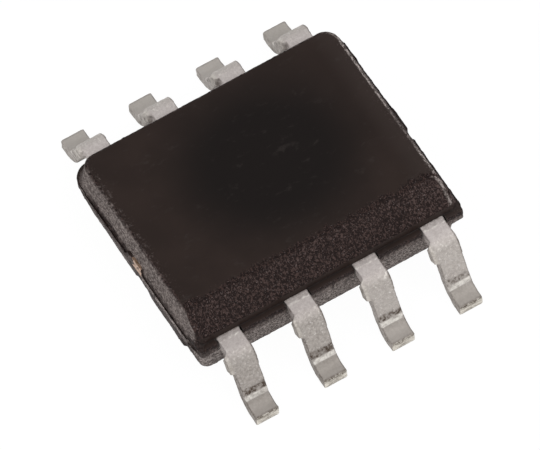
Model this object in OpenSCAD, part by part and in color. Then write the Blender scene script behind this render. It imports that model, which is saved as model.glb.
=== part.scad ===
// Eight-lead small-outline memory chip, millimetres, +Z up.
// The origin is on the seating plane under the middle of the package.
// X runs along the two lead rows and Y runs across them. The bevelled
// long edge of the moulding is on the -Y side, over leads 1 to 4.

/* [Moulding] */
// Length along the lead rows, at the lead plane
body_len = 4.90; // [4.0:0.01:6.0]
// Width across the lead rows, at the lead plane
body_wid = 3.86; // [3.2:0.01:4.8]
// Height of the top face over the seating plane
top_z = 1.46; // [1.42:0.01:1.8]
// Gap between the underside and the seating plane
standoff = 0.17; // [0.05:0.01:0.25]
// Draft angle of the side and end faces
draft = 12; // [5:0.5:15]
// Radius of the upper half's upright corners at the lead plane
corner_r = 0.26; // [0.1:0.01:0.4]
// Radius of the lower half's upright corners at the lead plane
lower_corner_r = 0.28; // [0.1:0.01:0.4]
// Distance that the lower half stands out beyond the upper half
half_step = 0.03; // [0.01:0.01:0.05]
// Width of the bevel, measured along the top face
bevel_run = 0.48; // [0.2:0.01:0.6]
// Drop of the bevel below the top face
bevel_drop = 0.24; // [0.1:0.01:0.32]

/* [Mould flash] */
// Reach of the flash between the leads, beyond the upper half
row_flash = 0.11; // [0.06:0.01:0.2]
// Radius of the row flash's two front corners
flash_front_r = 0.05; // [0.02:0.01:0.2]
// Radius of the row flash's two back corners
flash_back_r = 0.28; // [0.05:0.01:0.4]
// Reach of the flash strips on the ends, beyond the upper half
end_flash = 0.06; // [0.04:0.01:0.12]
// Distance from the middle of an end to the far end of a strip
end_flash_y = 1.70; // [1.2:0.01:1.8]
// Start of the one strip that is torn short, on the +X end
torn_flash_y = 0.93; // [0.3:0.01:1.1]

/* [Lead frame] */
// Distance between neighbouring leads
pitch = 1.27; // [1.1:0.01:1.4]
// Thickness of the plated frame
frame_t = 0.22; // [0.15:0.01:0.25]
// Height of the frame's upper face over the seating plane
frame_z = 1.10; // [0.9:0.01:1.15]
// Width of a lead
lead_w = 0.43; // [0.3:0.01:0.45]
// Width of a lead over the stubs left by the cut dam bar
dam_w = 0.53; // [0.45:0.01:0.6]
// Distance that the stubs sit off the middle of a lead, towards -X
dam_shift = 0.035; // [0:0.005:0.05]
// Distance from the moulding to the dam bar stubs
dam_gap = 0.25; // [0.12:0.01:0.28]
// Length of the dam bar stubs on the sloping part of a lead
dam_len = 0.15; // [0.1:0.01:0.4]

/* [Lead form] */
// Level length of a lead between the moulding and its first bend
shoulder_len = 0.28; // [0.28:0.01:0.6]
// Angle of the sloping length to the seating plane
slope_angle = 64; // [50:1:80]
// Inside radius of the shoulder bend
shoulder_r = 0.08; // [0.02:0.01:0.2]
// Inside radius of the heel bend
heel_r = 0.28; // [0.05:0.01:0.32]
// Level length of the foot
foot_len = 0.10; // [0.08:0.01:0.6]

/* [Leads inside the moulding] */
// Distance that a lead reaches into the moulding
inner_len = 0.71; // [0.5:0.01:0.85]
// Width of the locking tab at a lead's inner end
tab_w = 0.56; // [0.45:0.01:0.7]
// Length of the locking tab
tab_len = 0.28; // [0.2:0.01:0.35]
// Distance that an outer lead's tab is offset towards the middle
tab_offset = 0.30; // [0:0.01:0.4]
// Length of the plain stem between the moulding's face and the tab's neck
stem_len = 0.21; // [0.1:0.01:0.25]

/* [Die paddle] */
// Length of the paddle along the lead rows
paddle_len = 2.60; // [1.9:0.01:3.0]
// Width of the paddle
paddle_wid = 1.90; // [1.5:0.01:2.1]
// Distance that the paddle is set down below the leads
paddle_drop = 0.22; // [0.15:0.01:0.3]
// Width of the two tie bars
tie_w = 0.40; // [0.3:0.01:0.6]
// Distance that the cut end of a tie bar stands out of the moulding
tie_proud = 0.04; // [0.03:0.01:0.08]

/* [Die and wires] */
// Length of the silicon die
die_len = 1.50; // [1.2:0.01:1.8]
// Width of the silicon die
die_wid = 1.20; // [0.9:0.01:1.4]
// Thickness of the silicon die
die_t = 0.23; // [0.15:0.01:0.25]
// Thickness of the adhesive under the die
attach_t = 0.025; // [0.02:0.005:0.04]
// Width of the adhesive that shows around the die
attach_margin = 0.04; // [0.02:0.01:0.1]
// Distance between bond pads along the die
pad_pitch = 0.36; // [0.2:0.01:0.38]
// Distance of the bond pads from the die's edge
pad_inset = 0.08; // [0.06:0.01:0.15]
// Thickness of a bond wire
wire_d = 0.025; // [0.018:0.001:0.05]
// Width of the flattened ball where a wire leaves the die
ball_d = 0.07; // [0.06:0.005:0.09]
// Height of the flattened ball
ball_h = 0.02; // [0.01:0.005:0.03]
// Height of a wire's loop over the die
loop_h = 0.14; // [0.08:0.01:0.16]

/* [Hidden] */
$fn = 48;

lead_count = 8;
row_count = lead_count / 2;
frame_bottom = frame_z - frame_t;

// Sloping length that brings the foot down to the seating plane
bend_drop = (shoulder_r + frame_t + heel_r) * (1 - cos(slope_angle));
slope_len = (frame_bottom - bend_drop) / sin(slope_angle);

// Heights of the set-down paddle and of what stands on it
paddle_z = frame_bottom - paddle_drop;
attach_z = paddle_z + frame_t;
die_z = attach_z + attach_t;
die_top = die_z + die_t;

// Bond wires have flat facets, and one facet lies on the lead
wire_sides = 8;
wire_steps = 9;
facet = 180 / wire_sides;
wire_r = wire_d / 2;
stitch_inset = 0.12;

// Place of a lead in its row, and the row's turn about Z
function row_index(i) = (i - 1) % row_count;
function row_turn(i) = i <= row_count ? 0 : 180;
function lead_x(i) = (row_index(i) - (row_count - 1) / 2) * pitch;
// The two outer leads of a row have tabs offset towards the middle
function is_outer(i) = abs(lead_x(i)) > pitch;
function tab_x(i) = lead_x(i) - (is_outer(i) ? sign(lead_x(i)) * tab_offset : 0);

// Rounded block whose four faces lean in by the draft angle as it rises
module drafted_block(len, wid, rise, r) {
    inset = rise * tan(draft);
    rotate([90, 0, 90])
        linear_extrude(len - 2 * r, center = true)
            polygon([[-wid / 2, 0], [wid / 2, 0], [wid / 2 - inset, rise], [inset - wid / 2, rise]]);
    rotate([90, 0, 0])
        linear_extrude(wid - 2 * r, center = true)
            polygon([[-len / 2, 0], [len / 2, 0], [len / 2 - inset, rise], [inset - len / 2, rise]]);
    for (x = [-1, 1], y = [-1, 1])
        translate([x * (len / 2 - r), y * (wid / 2 - r), 0])
            cylinder(h = rise, r1 = r, r2 = max(r - inset, 0));
}

// Upright block with rounded corners, as thick as the lead frame
module frame_block(len, wid, front_r, back_r) {
    translate([-len / 2, front_r - wid / 2, frame_bottom])
        cube([len, wid - front_r - back_r, frame_t]);
    translate([front_r - len / 2, -wid / 2, frame_bottom])
        cube([len - 2 * front_r, wid / 2, frame_t]);
    translate([back_r - len / 2, 0, frame_bottom])
        cube([len - 2 * back_r, wid / 2, frame_t]);
    for (x = [-1, 1]) {
        translate([x * (len / 2 - front_r), front_r - wid / 2, frame_bottom])
            cylinder(h = frame_t, r = front_r);
        translate([x * (len / 2 - back_r), wid / 2 - back_r, frame_bottom])
            cylinder(h = frame_t, r = back_r);
    }
}

// Strip of flash on one end, from y = near to y = far
module end_strip(side, near, far) {
    inner = body_len / 2 - corner_r;
    x = side > 0 ? inner : -body_len / 2 - end_flash;
    translate([x, min(near, far), frame_bottom])
        cube([corner_r + end_flash, abs(far - near), frame_t]);
}

// Wedge that cuts the bevel along the -Y top edge
module bevel_cut() {
    edge_y = body_wid / 2 - (top_z - frame_z) * tan(draft);
    slope = atan2(bevel_drop, bevel_run);
    translate([0, bevel_run - edge_y, top_z])
        rotate([slope, 0, 0])
            translate([-body_len, -body_wid, 0])
                cube([2 * body_len, body_wid, body_wid / 2]);
}

// Outer form of the moulding with its flash
module moulding() {
    lower_len = body_len + 2 * half_step;
    lower_wid = body_wid + 2 * half_step;
    lower_rise = frame_bottom - standoff;
    difference() {
        translate([0, 0, frame_z])
            drafted_block(body_len, body_wid, top_z - frame_z, corner_r);
        bevel_cut();
    }
    frame_block(lower_len, lower_wid, lower_corner_r, lower_corner_r);
    frame_block(lower_len, body_wid + 2 * row_flash, flash_front_r, flash_back_r);
    translate([0, 0, frame_bottom])
        mirror([0, 0, 1])
            drafted_block(lower_len, lower_wid, lower_rise, lower_corner_r);
    end_strip(-1, tie_w / 2, end_flash_y);
    end_strip(-1, -tie_w / 2, -end_flash_y);
    end_strip(1, tie_w / 2, end_flash_y);
    end_strip(1, -torn_flash_y, -body_wid / 2);
}

module body() {
    color([0.17, 0.145, 0.14])
        difference() {
            moulding();
            for (i = [1:lead_count]) {
                lead(i);
                bond_wire(i);
            }
            die_paddle();
            die_attach();
            die();
        }
}

// Cross-section of a lead, measured out from the inside of a bend and
// across. The dam bar stubs widen it, more on one side: stub_side is 1 or
// -1 for that side, and 0 where there are no stubs
module lead_section(r, stub_side) {
    wid = stub_side == 0 ? lead_w : dam_w;
    translate([r, stub_side * dam_shift - wid / 2])
        square([frame_t, wid]);
}

// Straight length of a lead along -Y with its upper face at z = 0. What
// follows it starts at its far end
module straight(len, stub_side = 0) {
    rotate([90, -90, 0])
        linear_extrude(len)
            lead_section(-frame_t, stub_side);
    translate([0, -len, 0])
        children();
}

// Bend that turns what follows it down, about an axis below the lead
module bend_down(angle, r, stub_side = 0) {
    translate([0, 0, -frame_t - r]) {
        rotate([0, -90, 0])
            rotate([0, 0, -angle])
                rotate_extrude(angle = angle)
                    lead_section(r, stub_side);
        rotate([angle, 0, 0])
            translate([0, 0, r + frame_t])
                children();
    }
}

// Bend that turns what follows it up, about an axis above the lead
module bend_up(angle, r) {
    translate([0, 0, r]) {
        rotate([0, -90, 0])
            rotate([0, 0, 180])
                rotate_extrude(angle = angle)
                    lead_section(r, 0);
        rotate([-angle, 0, 0])
            translate([0, 0, -r])
                children();
    }
}

// Part of a lead outside the moulding: shoulder, slope and foot
module outer_lead(stub_side) {
    straight(dam_gap)
        straight(shoulder_len - dam_gap, stub_side)
            bend_down(slope_angle, shoulder_r, stub_side)
                straight(dam_len, stub_side)
                    straight(slope_len - dam_len)
                        bend_up(slope_angle, heel_r)
                            straight(foot_len);
}

// Plan of the part inside the moulding: a stem that widens to a tab
module inner_plan(offset_x) {
    polygon([
        [-lead_w / 2, 0],
        [lead_w / 2, 0],
        [lead_w / 2, stem_len],
        [offset_x + tab_w / 2, inner_len - tab_len],
        [offset_x + tab_w / 2, inner_len],
        [offset_x - tab_w / 2, inner_len],
        [offset_x - tab_w / 2, inner_len - tab_len],
        [-lead_w / 2, stem_len]
    ]);
}

module lead(i) {
    color([0.72, 0.70, 0.68])
        rotate([0, 0, row_turn(i)])
            translate([lead_x(i), -body_wid / 2, 0]) {
                translate([0, 0, frame_z])
                    outer_lead(row_turn(i) == 0 ? 1 : -1);
                translate([0, 0, frame_bottom])
                    linear_extrude(frame_t)
                        inner_plan(tab_x(i) - lead_x(i));
            }
}

// Die paddle with its two tie bars, whose cut ends show in the end faces
module die_paddle() {
    end_x = body_len / 2 + tie_proud;
    bend_x = paddle_len / 2 + paddle_drop;
    color([0.72, 0.45, 0.30]) {
        translate([-paddle_len / 2, -paddle_wid / 2, paddle_z])
            cube([paddle_len, paddle_wid, frame_t]);
        for (side = [0, 1])
            mirror([side, 0, 0])
                rotate([90, 0, 0])
                    linear_extrude(tie_w, center = true)
                        polygon([
                            [0, paddle_z],
                            [paddle_len / 2, paddle_z],
                            [bend_x, frame_bottom],
                            [end_x, frame_bottom],
                            [end_x, frame_z],
                            [bend_x, frame_z],
                            [paddle_len / 2, attach_z],
                            [0, attach_z]
                        ]);
    }
}

module die_attach() {
    color([0.80, 0.80, 0.82])
        translate([-die_len / 2 - attach_margin, -die_wid / 2 - attach_margin, attach_z])
            cube([die_len + 2 * attach_margin, die_wid + 2 * attach_margin, attach_t]);
}

module die() {
    color([0.35, 0.38, 0.45])
        translate([-die_len / 2, -die_wid / 2, die_z])
            cube([die_len, die_wid, die_t]);
}

// Ends of a wire in the front row's frame: its pad and its stitch
function pad_at(i) = [
    (row_index(i) - (row_count - 1) / 2) * pad_pitch,
    pad_inset - die_wid / 2,
    die_top
];
function stitch_at(i) = [
    tab_x(i),
    inner_len - stitch_inset - body_wid / 2,
    frame_z + wire_r
];

// Cubic curve through a to d, and its direction
function curve(a, b, c, d, t) =
    pow(1 - t, 3) * a + 3 * pow(1 - t, 2) * t * b + 3 * (1 - t) * t * t * c + pow(t, 3) * d;
function curve_dir(a, b, c, d, t) =
    pow(1 - t, 2) * (b - a) + 2 * (1 - t) * t * (c - b) + t * t * (d - c);
function unit(v) = v / norm(v);

// Flat-sided ring about a centre, square to a direction, with side level
function ring(centre, direction, side, r) = [
    for (k = [0:wire_sides - 1])
        let (a = facet + k * 2 * facet)
            centre + r / cos(facet) * (cos(a) * side + sin(a) * unit(cross(side, direction)))
];

// One bond wire: a flattened ball on the die, a loop, and a stitch on a lead
module bond_wire(i) {
    pad = pad_at(i);
    start = pad + [0, 0, ball_h];
    stitch = stitch_at(i);
    level = [stitch[0] - pad[0], stitch[1] - pad[1], 0];
    side = unit(cross(level, [0, 0, 1]));
    rise = start + [0, 0, loop_h * 1.45];
    fall = stitch - level * 0.62 + [0, 0, loop_h * 0.35];
    end_level = stitch - unit(level) * wire_d * 2;
    upright = [0, 0, 1];
    loop_rings = [
        for (k = [1:wire_steps])
            let (t = k / wire_steps)
                ring(
                    curve(start, rise, fall, end_level, t),
                    k == wire_steps ? level : curve_dir(start, rise, fall, end_level, t),
                    side,
                    wire_r
                )
    ];
    rings = concat(
        [ring(pad, upright, side, ball_d / 2)],
        [ring(start, upright, side, ball_d / 2)],
        [ring(start + [0, 0, wire_r], upright, side, wire_r)],
        loop_rings,
        [ring(stitch, level, side, wire_r)]
    );
    last = len(rings) - 1;
    walls = [
        for (m = [0:last - 1], k = [0:wire_sides - 1])
            let (
                a = m * wire_sides + k,
                b = m * wire_sides + (k + 1) % wire_sides,
                c = b + wire_sides,
                d = a + wire_sides
            )
                each [[a, b, c], [a, c, d]]
    ];
    caps = [
        [for (k = [0:wire_sides - 1]) wire_sides - 1 - k],
        [for (k = [0:wire_sides - 1]) last * wire_sides + k]
    ];
    color([0.93, 0.75, 0.35])
        rotate([0, 0, row_turn(i)])
            polyhedron([for (r = rings) each r], concat(walls, caps));
}

body();
for (i = [1:lead_count]) lead(i);
die_paddle();
die_attach();
die();
for (i = [1:lead_count]) bond_wire(i);
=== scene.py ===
"""Looks of an eight-lead small-outline memory chip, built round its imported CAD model.

Lengths are in millimetres, and MM turns them into metres where a mesh or a lamp is made.
The bevelled long side of the moulding faces the front, -Y.
"""

import math

import bpy
import numpy as np
from mathutils import Matrix, Vector, noise


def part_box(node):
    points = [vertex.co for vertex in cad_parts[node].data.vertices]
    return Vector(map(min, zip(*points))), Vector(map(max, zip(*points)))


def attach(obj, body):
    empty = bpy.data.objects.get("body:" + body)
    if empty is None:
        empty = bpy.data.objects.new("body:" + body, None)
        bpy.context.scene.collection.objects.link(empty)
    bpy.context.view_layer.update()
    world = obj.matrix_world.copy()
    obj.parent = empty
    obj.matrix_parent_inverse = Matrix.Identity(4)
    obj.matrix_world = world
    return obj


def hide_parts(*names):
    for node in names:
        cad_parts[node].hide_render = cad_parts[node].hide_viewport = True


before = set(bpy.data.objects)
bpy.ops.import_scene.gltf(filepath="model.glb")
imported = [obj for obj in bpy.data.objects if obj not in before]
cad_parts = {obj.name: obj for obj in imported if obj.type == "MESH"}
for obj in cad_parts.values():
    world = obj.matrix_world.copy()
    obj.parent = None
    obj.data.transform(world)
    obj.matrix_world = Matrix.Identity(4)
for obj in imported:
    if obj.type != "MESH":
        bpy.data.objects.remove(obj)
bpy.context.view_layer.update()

MM = 0.001
# Leads are numbered anticlockwise from the front left, with a row of four on each long side
LEADS = range(1, 9)
ROW = 4


def box_mm(node):
    """Lowest and highest corner of a CAD node, in millimetres."""
    low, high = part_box(node)
    return np.array(low) / MM, np.array(high) / MM


# -------------------------------- sizes from the frame
body_low, body_high = box_mm("body")
lead_high = box_mm("lead_1")[1]

UNDERSIDE_Z = body_low[2]
TOP_Z = body_high[2]
# Upper and lower face of the lead frame where it leaves the moulding, and its thickness
FRAME_Z = lead_high[2]
FRAME_T = box_mm("die_attach")[0][2] - box_mm("die_paddle")[0][2]
BAND_Z = FRAME_Z - FRAME_T
FLASH_X, FLASH_Y = body_high[:2]
INNER_Y = -lead_high[1]
PITCH = box_mm("lead_3")[0][0] - box_mm("lead_2")[0][0]

# -------------------------------- sizes of the moulding
END_FLASH = 0.06
ROW_FLASH = 0.11
HALF_STEP = 0.03
UPPER_X = FLASH_X - END_FLASH
UPPER_Y = FLASH_Y - ROW_FLASH
LOWER_X = UPPER_X + HALF_STEP
LOWER_Y = UPPER_Y + HALF_STEP
DRAFT = math.radians(12)
# Radii of the corners, seen from above: front and back
UPPER_RADII = (0.18, 0.26)
LOWER_R = 0.28
FLASH_RADII = (0.05, 0.28)
BEVEL_RUN = 0.48
BEVEL_DROP = 0.24
BEVEL_Z = TOP_Z - BEVEL_DROP
BEVEL_TOP_Y = BEVEL_RUN - UPPER_Y + (TOP_Z - FRAME_Z) * math.tan(DRAFT)
TOP_EDGE_R = 0.08
BEVEL_EDGE_R = 0.05
BOTTOM_EDGE_R = 0.05
TIE_HALF_W = 0.20
# How far the walls' far edges stand out from, or inside, the nominal draft
BACK_STEEPER = 0.072
FRONT_STEEPER = 0.028
LEFT_STEEPER = 0.045
RIGHT_FLATTER = 0.025
# How far the lower half and the flash sit to the left of the upper half
LOWER_SHIFT = 0.02
# The left end's flash is broken off from here to the front corner, and stands this much in
NICK_Y = -1.65
NICK = 0.045
# Strips of flash that stand out on each end: where they begin and stop
LEFT_STRIPS = ((-1.71, -TIE_HALF_W), (TIE_HALF_W, 1.58))
RIGHT_STRIPS = ((-1.92, -0.45), (0.18, 1.73))
STRIP_FADE = 0.02
# How deep the edge of the flash is torn on the ends and on the long sides, and nibbled on both
TORN_END = 0.016
TORN_ROW = 0.012
NIBBLED = 0.006
# How far the film of compound over each tie bar's end stands out
LEFT_FILM = 0.024
RIGHT_FILM = 0.017
# Height of the grain, of the slow swell under it and of its lumps
GRAIN = 0.0075
SWELL = 0.004
LUMPS = 0.018
SLOT_GAP = 0.018

# Rows under the flash: shares of the way from the lower half to the flash's edge
UNDER = (0.25, 0.6)
# Ledge over the flash: shares of the way from the flash's edge to the upper half's foot
LEDGE = (0.12, 0.35, 0.6, 0.82, 0.95)
# How far each of those rows is sunk, and set out, on the left end, where the flash is thin
LEDGE_SUNK = (0.10, 0.108, 0.115, 0.062, 0.025)
LEDGE_OUT = (0.0, 0.002, 0.006, 0.010, 0.006)
# Painted shade on those rows and the next two between the leads, at the foot of the upper wall
FOOT_SHADE = (0, 0, 0.1, 0.4, 0.8, 0.9, 0.3)
# How far inside the outline the rings on the flat underside and top lie
UNDERSIDE_INSETS = (0.03, 0.1, 0.25, 0.5, 0.9, 1.3)
TOP_INSETS = (0.02, 0.04, 0.065, 0.095, 0.13, 0.18, 0.26, 0.4, 0.7, 1.0, 1.25)

# Steps along the front, the right end, the back and the left end, and round each corner
SIDE_STEPS = (270, 140, 150, 190)
CORNER_STEPS = 12
# Straight run before each corner
LEAD_IN = 0.02

# -------------------------------- sizes of a lead
LEAD_W = 0.43
SHOULDER = 0.28
SLOPE_ANGLE = math.radians(64)
SHOULDER_R = 0.08
HEEL_R = 0.28
FOOT = 0.10
LINE_POINTS = 1601
# Stubs of the dam bar: start, how far they go down the slope and stand out, how deep they sink
STUB_START = 0.29
STUB_ON_SLOPE = 0.15
STUB_LEFT, STUB_RIGHT = 0.072, 0.015
STUB_PRESSED = 0.035
# Inside the moulding: a stem, then a wider tab that is set towards the middle on the outer leads
INSIDE = UPPER_Y - INNER_Y
STEM = 0.21
TAB_W = 0.56
TAB_LEN = 0.28
TAB_OFFSET = 0.30
UPPER_EDGE_R, LOWER_EDGE_R = 0.028, 0.016
# The forming tool's mark, from where the heel starts: a scuffed band, then a burnished ridge that
# carries a painted highlight
SCUFF_START, SCUFF_END = -0.135, -0.012
SHINE_END = 0.115
SECTION_STEP = 0.0125
# Steps of a section across each face, down each side and round each edge
LEAD_FACE_STEPS, LEAD_SIDE_STEPS, LEAD_EDGE_STEPS = 26, 14, 4
# How dirty the scuffed band is, and how strong the painted shade on the foot's border and left rim,
# on each lead of the front row, and on the back row
SCUFF_DIRT_AND_SHADE = (0.75, 0.8, 0.45, 0.4)
BACK_DIRT_AND_SHADE = 0.22
LEAD_SEED = 20


def ramp(low, high, value):
    """0 up to low, 1 from high on, and a smooth step between; low may be the larger."""
    t = np.clip((value - low) / (high - low), 0, 1)
    return t * t * (3 - 2 * t)


def band(start, stop, value):
    """1 between two smooth steps: up over the pair start, and down again over the pair stop."""
    return ramp(*start, value) * ramp(*stop[::-1], value)


def noise_at(points, per_mm, octaves=1, seed=0):
    """Noise from about -1 to 1 at points in millimetres, with per_mm bumps to the millimetre."""
    shift = Vector((seed * 17.3, seed * 5.1, seed * 9.7))
    if octaves == 1:
        values = [noise.noise(Vector(p) * per_mm + shift) for p in points]
    else:
        values = [noise.fractal(Vector(p) * per_mm + shift, 1.0, 2.0, octaves) for p in points]
    return np.array(values)


def add_object(name, data):
    thing = bpy.data.objects.new(name, data)
    bpy.context.scene.collection.objects.link(thing)
    return thing


def grid_mesh(name, rings, finish_and_light):
    """Closed mesh from rings of points, each as long, with a fan to the middle of both end rings.

    The last argument holds four numbers a point, for the finish and for painted light and shade,
    kept as the colour attribute that the materials read.
    """
    count, around = rings.shape[:2]
    points = rings.reshape(-1, 3)
    first, last = points[:around].mean(0), points[-around:].mean(0)
    points = np.vstack([points, first, last])
    colours = finish_and_light.reshape(-1, 4)
    colours = np.vstack([colours, colours[0], colours[-1]])
    here = np.arange(around)
    after = (here + 1) % around
    faces = []
    for k in range(count - 1):
        low, high = k * around, (k + 1) * around
        faces += np.stack([low + here, low + after, high + after, high + here], 1).tolist()
    start, end = count * around, count * around + 1
    faces += [(int(b), int(a), start) for a, b in zip(here, after)]
    top = (count - 1) * around
    faces += [(int(top + a), int(top + b), end) for a, b in zip(here, after)]
    mesh = bpy.data.meshes.new(name)
    mesh.from_pydata((points * MM).tolist(), [], faces)
    mesh.validate()
    attribute = mesh.attributes.new("finish_and_light", "FLOAT_COLOR", "POINT")
    attribute.data.foreach_set("color", colours.astype(np.float32).ravel())
    mesh.shade_smooth()
    return add_object(name, mesh)


def ring_normals(rings):
    """Outward unit normals of a grid of rings that run anticlockwise from the underside up."""
    along = np.roll(rings, -1, 1) - np.roll(rings, 1, 1)
    up = np.gradient(rings, axis=0)
    normals = np.cross(along, up)
    length = np.linalg.norm(normals, axis=2, keepdims=True)
    return normals / np.maximum(length, 1e-12)


# -------------------------------- moulding
def corner_path(end_x, side_y, radius, cut_y):
    """Points from an end face round to a long side, where the corner is cut off flat at cut_y."""
    reach = min(cut_y, side_y)
    centre_y = side_y - radius
    turn = math.asin(min(1, max(0, (reach - centre_y) / radius)))
    way = np.linspace(0, LEAD_IN + radius * turn, CORNER_STEPS + 1)
    angle = np.maximum(way - LEAD_IN, 0) / radius
    x = end_x - radius + radius * np.cos(angle)
    y = min(centre_y, reach) - LEAD_IN + np.minimum(way, LEAD_IN) + radius * np.sin(angle)
    return np.stack([x, y], 1)


def outline(end_x, side_y, radii, front_y=None):
    """Closed outline, anticlockwise from the front side's left end, cut off flat at -front_y.

    radii are those of the front corners and of the back corners.
    """
    front = corner_path(end_x, side_y, radii[0], side_y if front_y is None else front_y)
    back = corner_path(end_x, side_y, radii[1], side_y)
    corners = [front[::-1] * (1, -1), back, back[::-1] * (-1, 1), front * (-1, -1)]
    parts = []
    for k, corner in enumerate(corners):
        parts.append(np.linspace(corners[k - 1][-1], corner[0], SIDE_STEPS[k], endpoint=False))
        parts.append(corner[:-1])
    return np.concatenate(parts)


def end_weight():
    """1 on the two end faces and 0 on the long sides, for each point of an outline."""
    rise = np.linspace(0, 1, CORNER_STEPS, endpoint=False)
    front, right, back, left = (np.full(steps, k % 2) for k, steps in enumerate(SIDE_STEPS))
    return np.concatenate([front, rise, right, 1 - rise, back, rise, left, 1 - rise])


def blend(a, b, share):
    """Pair of numbers a share of the way from one pair to another."""
    return tuple(p + (q - p) * share for p, q in zip(a, b))


def wall_inset(z, foot_z, lean, edge_r):
    """Distance inside its foot of a wall that leans in, at height z, with a rounded top edge."""
    round_z = TOP_Z - edge_r * (1 - math.sin(lean))
    straight = (min(z, round_z) - foot_z) * math.tan(lean)
    if z <= round_z:
        return straight
    up = (z - TOP_Z + edge_r) / edge_r
    return straight + edge_r * (math.cos(lean) - math.sqrt(max(0, 1 - up * up)))


def flat_cap(ring, z, insets, zone):
    """Rows that run in from an outline towards its middle, at height z."""
    low, high = ring.min(0), ring.max(0)
    middle, half = (low + high) / 2, (high - low) / 2
    return [((ring - middle) * (1 - inset / half) + middle, z, zone) for inset in insets]


def lower_outline(z):
    """Outline of the lower half at height z."""
    inset = (BAND_Z - z) * math.tan(DRAFT)
    return LOWER_X - inset, LOWER_Y - inset, (LOWER_R - inset, LOWER_R - inset)


def upper_outline(z):
    """Outline of the upper half at height z, cut off in front by the bevel."""
    inset = wall_inset(z, FRAME_Z, DRAFT, TOP_EDGE_R)
    front_y = None
    if z > BEVEL_Z:
        bevel_lean = math.atan2(BEVEL_RUN, BEVEL_DROP)
        bevel_foot = UPPER_Y - (BEVEL_Z - FRAME_Z) * math.tan(DRAFT)
        steep_y = UPPER_Y - wall_inset(z, FRAME_Z, DRAFT, 0.001)
        front_y = min(steep_y, bevel_foot - wall_inset(z, BEVEL_Z, bevel_lean, BEVEL_EDGE_R))
    return UPPER_X - inset, UPPER_Y - inset, UPPER_RADII, front_y


def moulding_rows():
    """The moulding's outlines, heights and zones, from mid underside round to mid top."""
    rows = []
    # Rounded bottom edge, then the lower half's walls
    edge_z = UNDERSIDE_Z + BOTTOM_EDGE_R
    end_x, side_y, radii = lower_outline(edge_z)
    for turn in np.linspace(0, math.pi / 2, 5)[:-1]:
        inset = BOTTOM_EDGE_R * (1 - math.sin(turn))
        z = UNDERSIDE_Z + BOTTOM_EDGE_R * (1 - math.cos(turn))
        rows.append((outline(end_x - inset, side_y - inset, radii), z, "lower"))
    for z in np.linspace(edge_z, BAND_Z - 0.012, 27):
        rows.append((outline(*lower_outline(z)), z, "lower"))
    # Under the flash, up its edge and back over it to the foot of the upper half
    for share in UNDER:
        size = blend((LOWER_X, LOWER_Y), (LOWER_X, FLASH_Y), share)
        ring = outline(*size, blend((LOWER_R, LOWER_R), FLASH_RADII, share))
        rows.append((ring, BAND_Z, "under"))
    for z in np.linspace(BAND_Z + 0.006, FRAME_Z - 0.006, 12):
        rows.append((outline(LOWER_X, FLASH_Y, FLASH_RADII), z, "flash"))
    for share in LEDGE:
        size = blend((LOWER_X, FLASH_Y), (UPPER_X, UPPER_Y), share)
        ring = outline(*size, blend(FLASH_RADII, UPPER_RADII, share))
        rows.append((ring, FRAME_Z, "ledge"))
    # The upper half's walls, its bevel and its rounded top edges
    steep = list(np.linspace(FRAME_Z, BEVEL_Z, 7))[:-1]
    sloping = list(np.linspace(BEVEL_Z, TOP_Z - 0.006, 27))
    crown = [TOP_Z - 0.0035, TOP_Z - 0.0018, TOP_Z - 0.0006, TOP_Z]
    for z in steep + sloping + crown:
        rows.append((outline(*upper_outline(z)), z, "upper"))
    underside = flat_cap(rows[0][0], UNDERSIDE_Z, UNDERSIDE_INSETS, "underside")
    return underside[::-1] + rows + flat_cap(rows[-1][0], TOP_Z, TOP_INSETS, "top")


def strip_reach(y, spans):
    """How far the flash strips on an end stand out at y, from 0 to 1."""
    return np.maximum.reduce([
        band((low - STRIP_FADE, low + STRIP_FADE), (high - STRIP_FADE, high + STRIP_FADE), y)
        for low, high in spans
    ])


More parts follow.
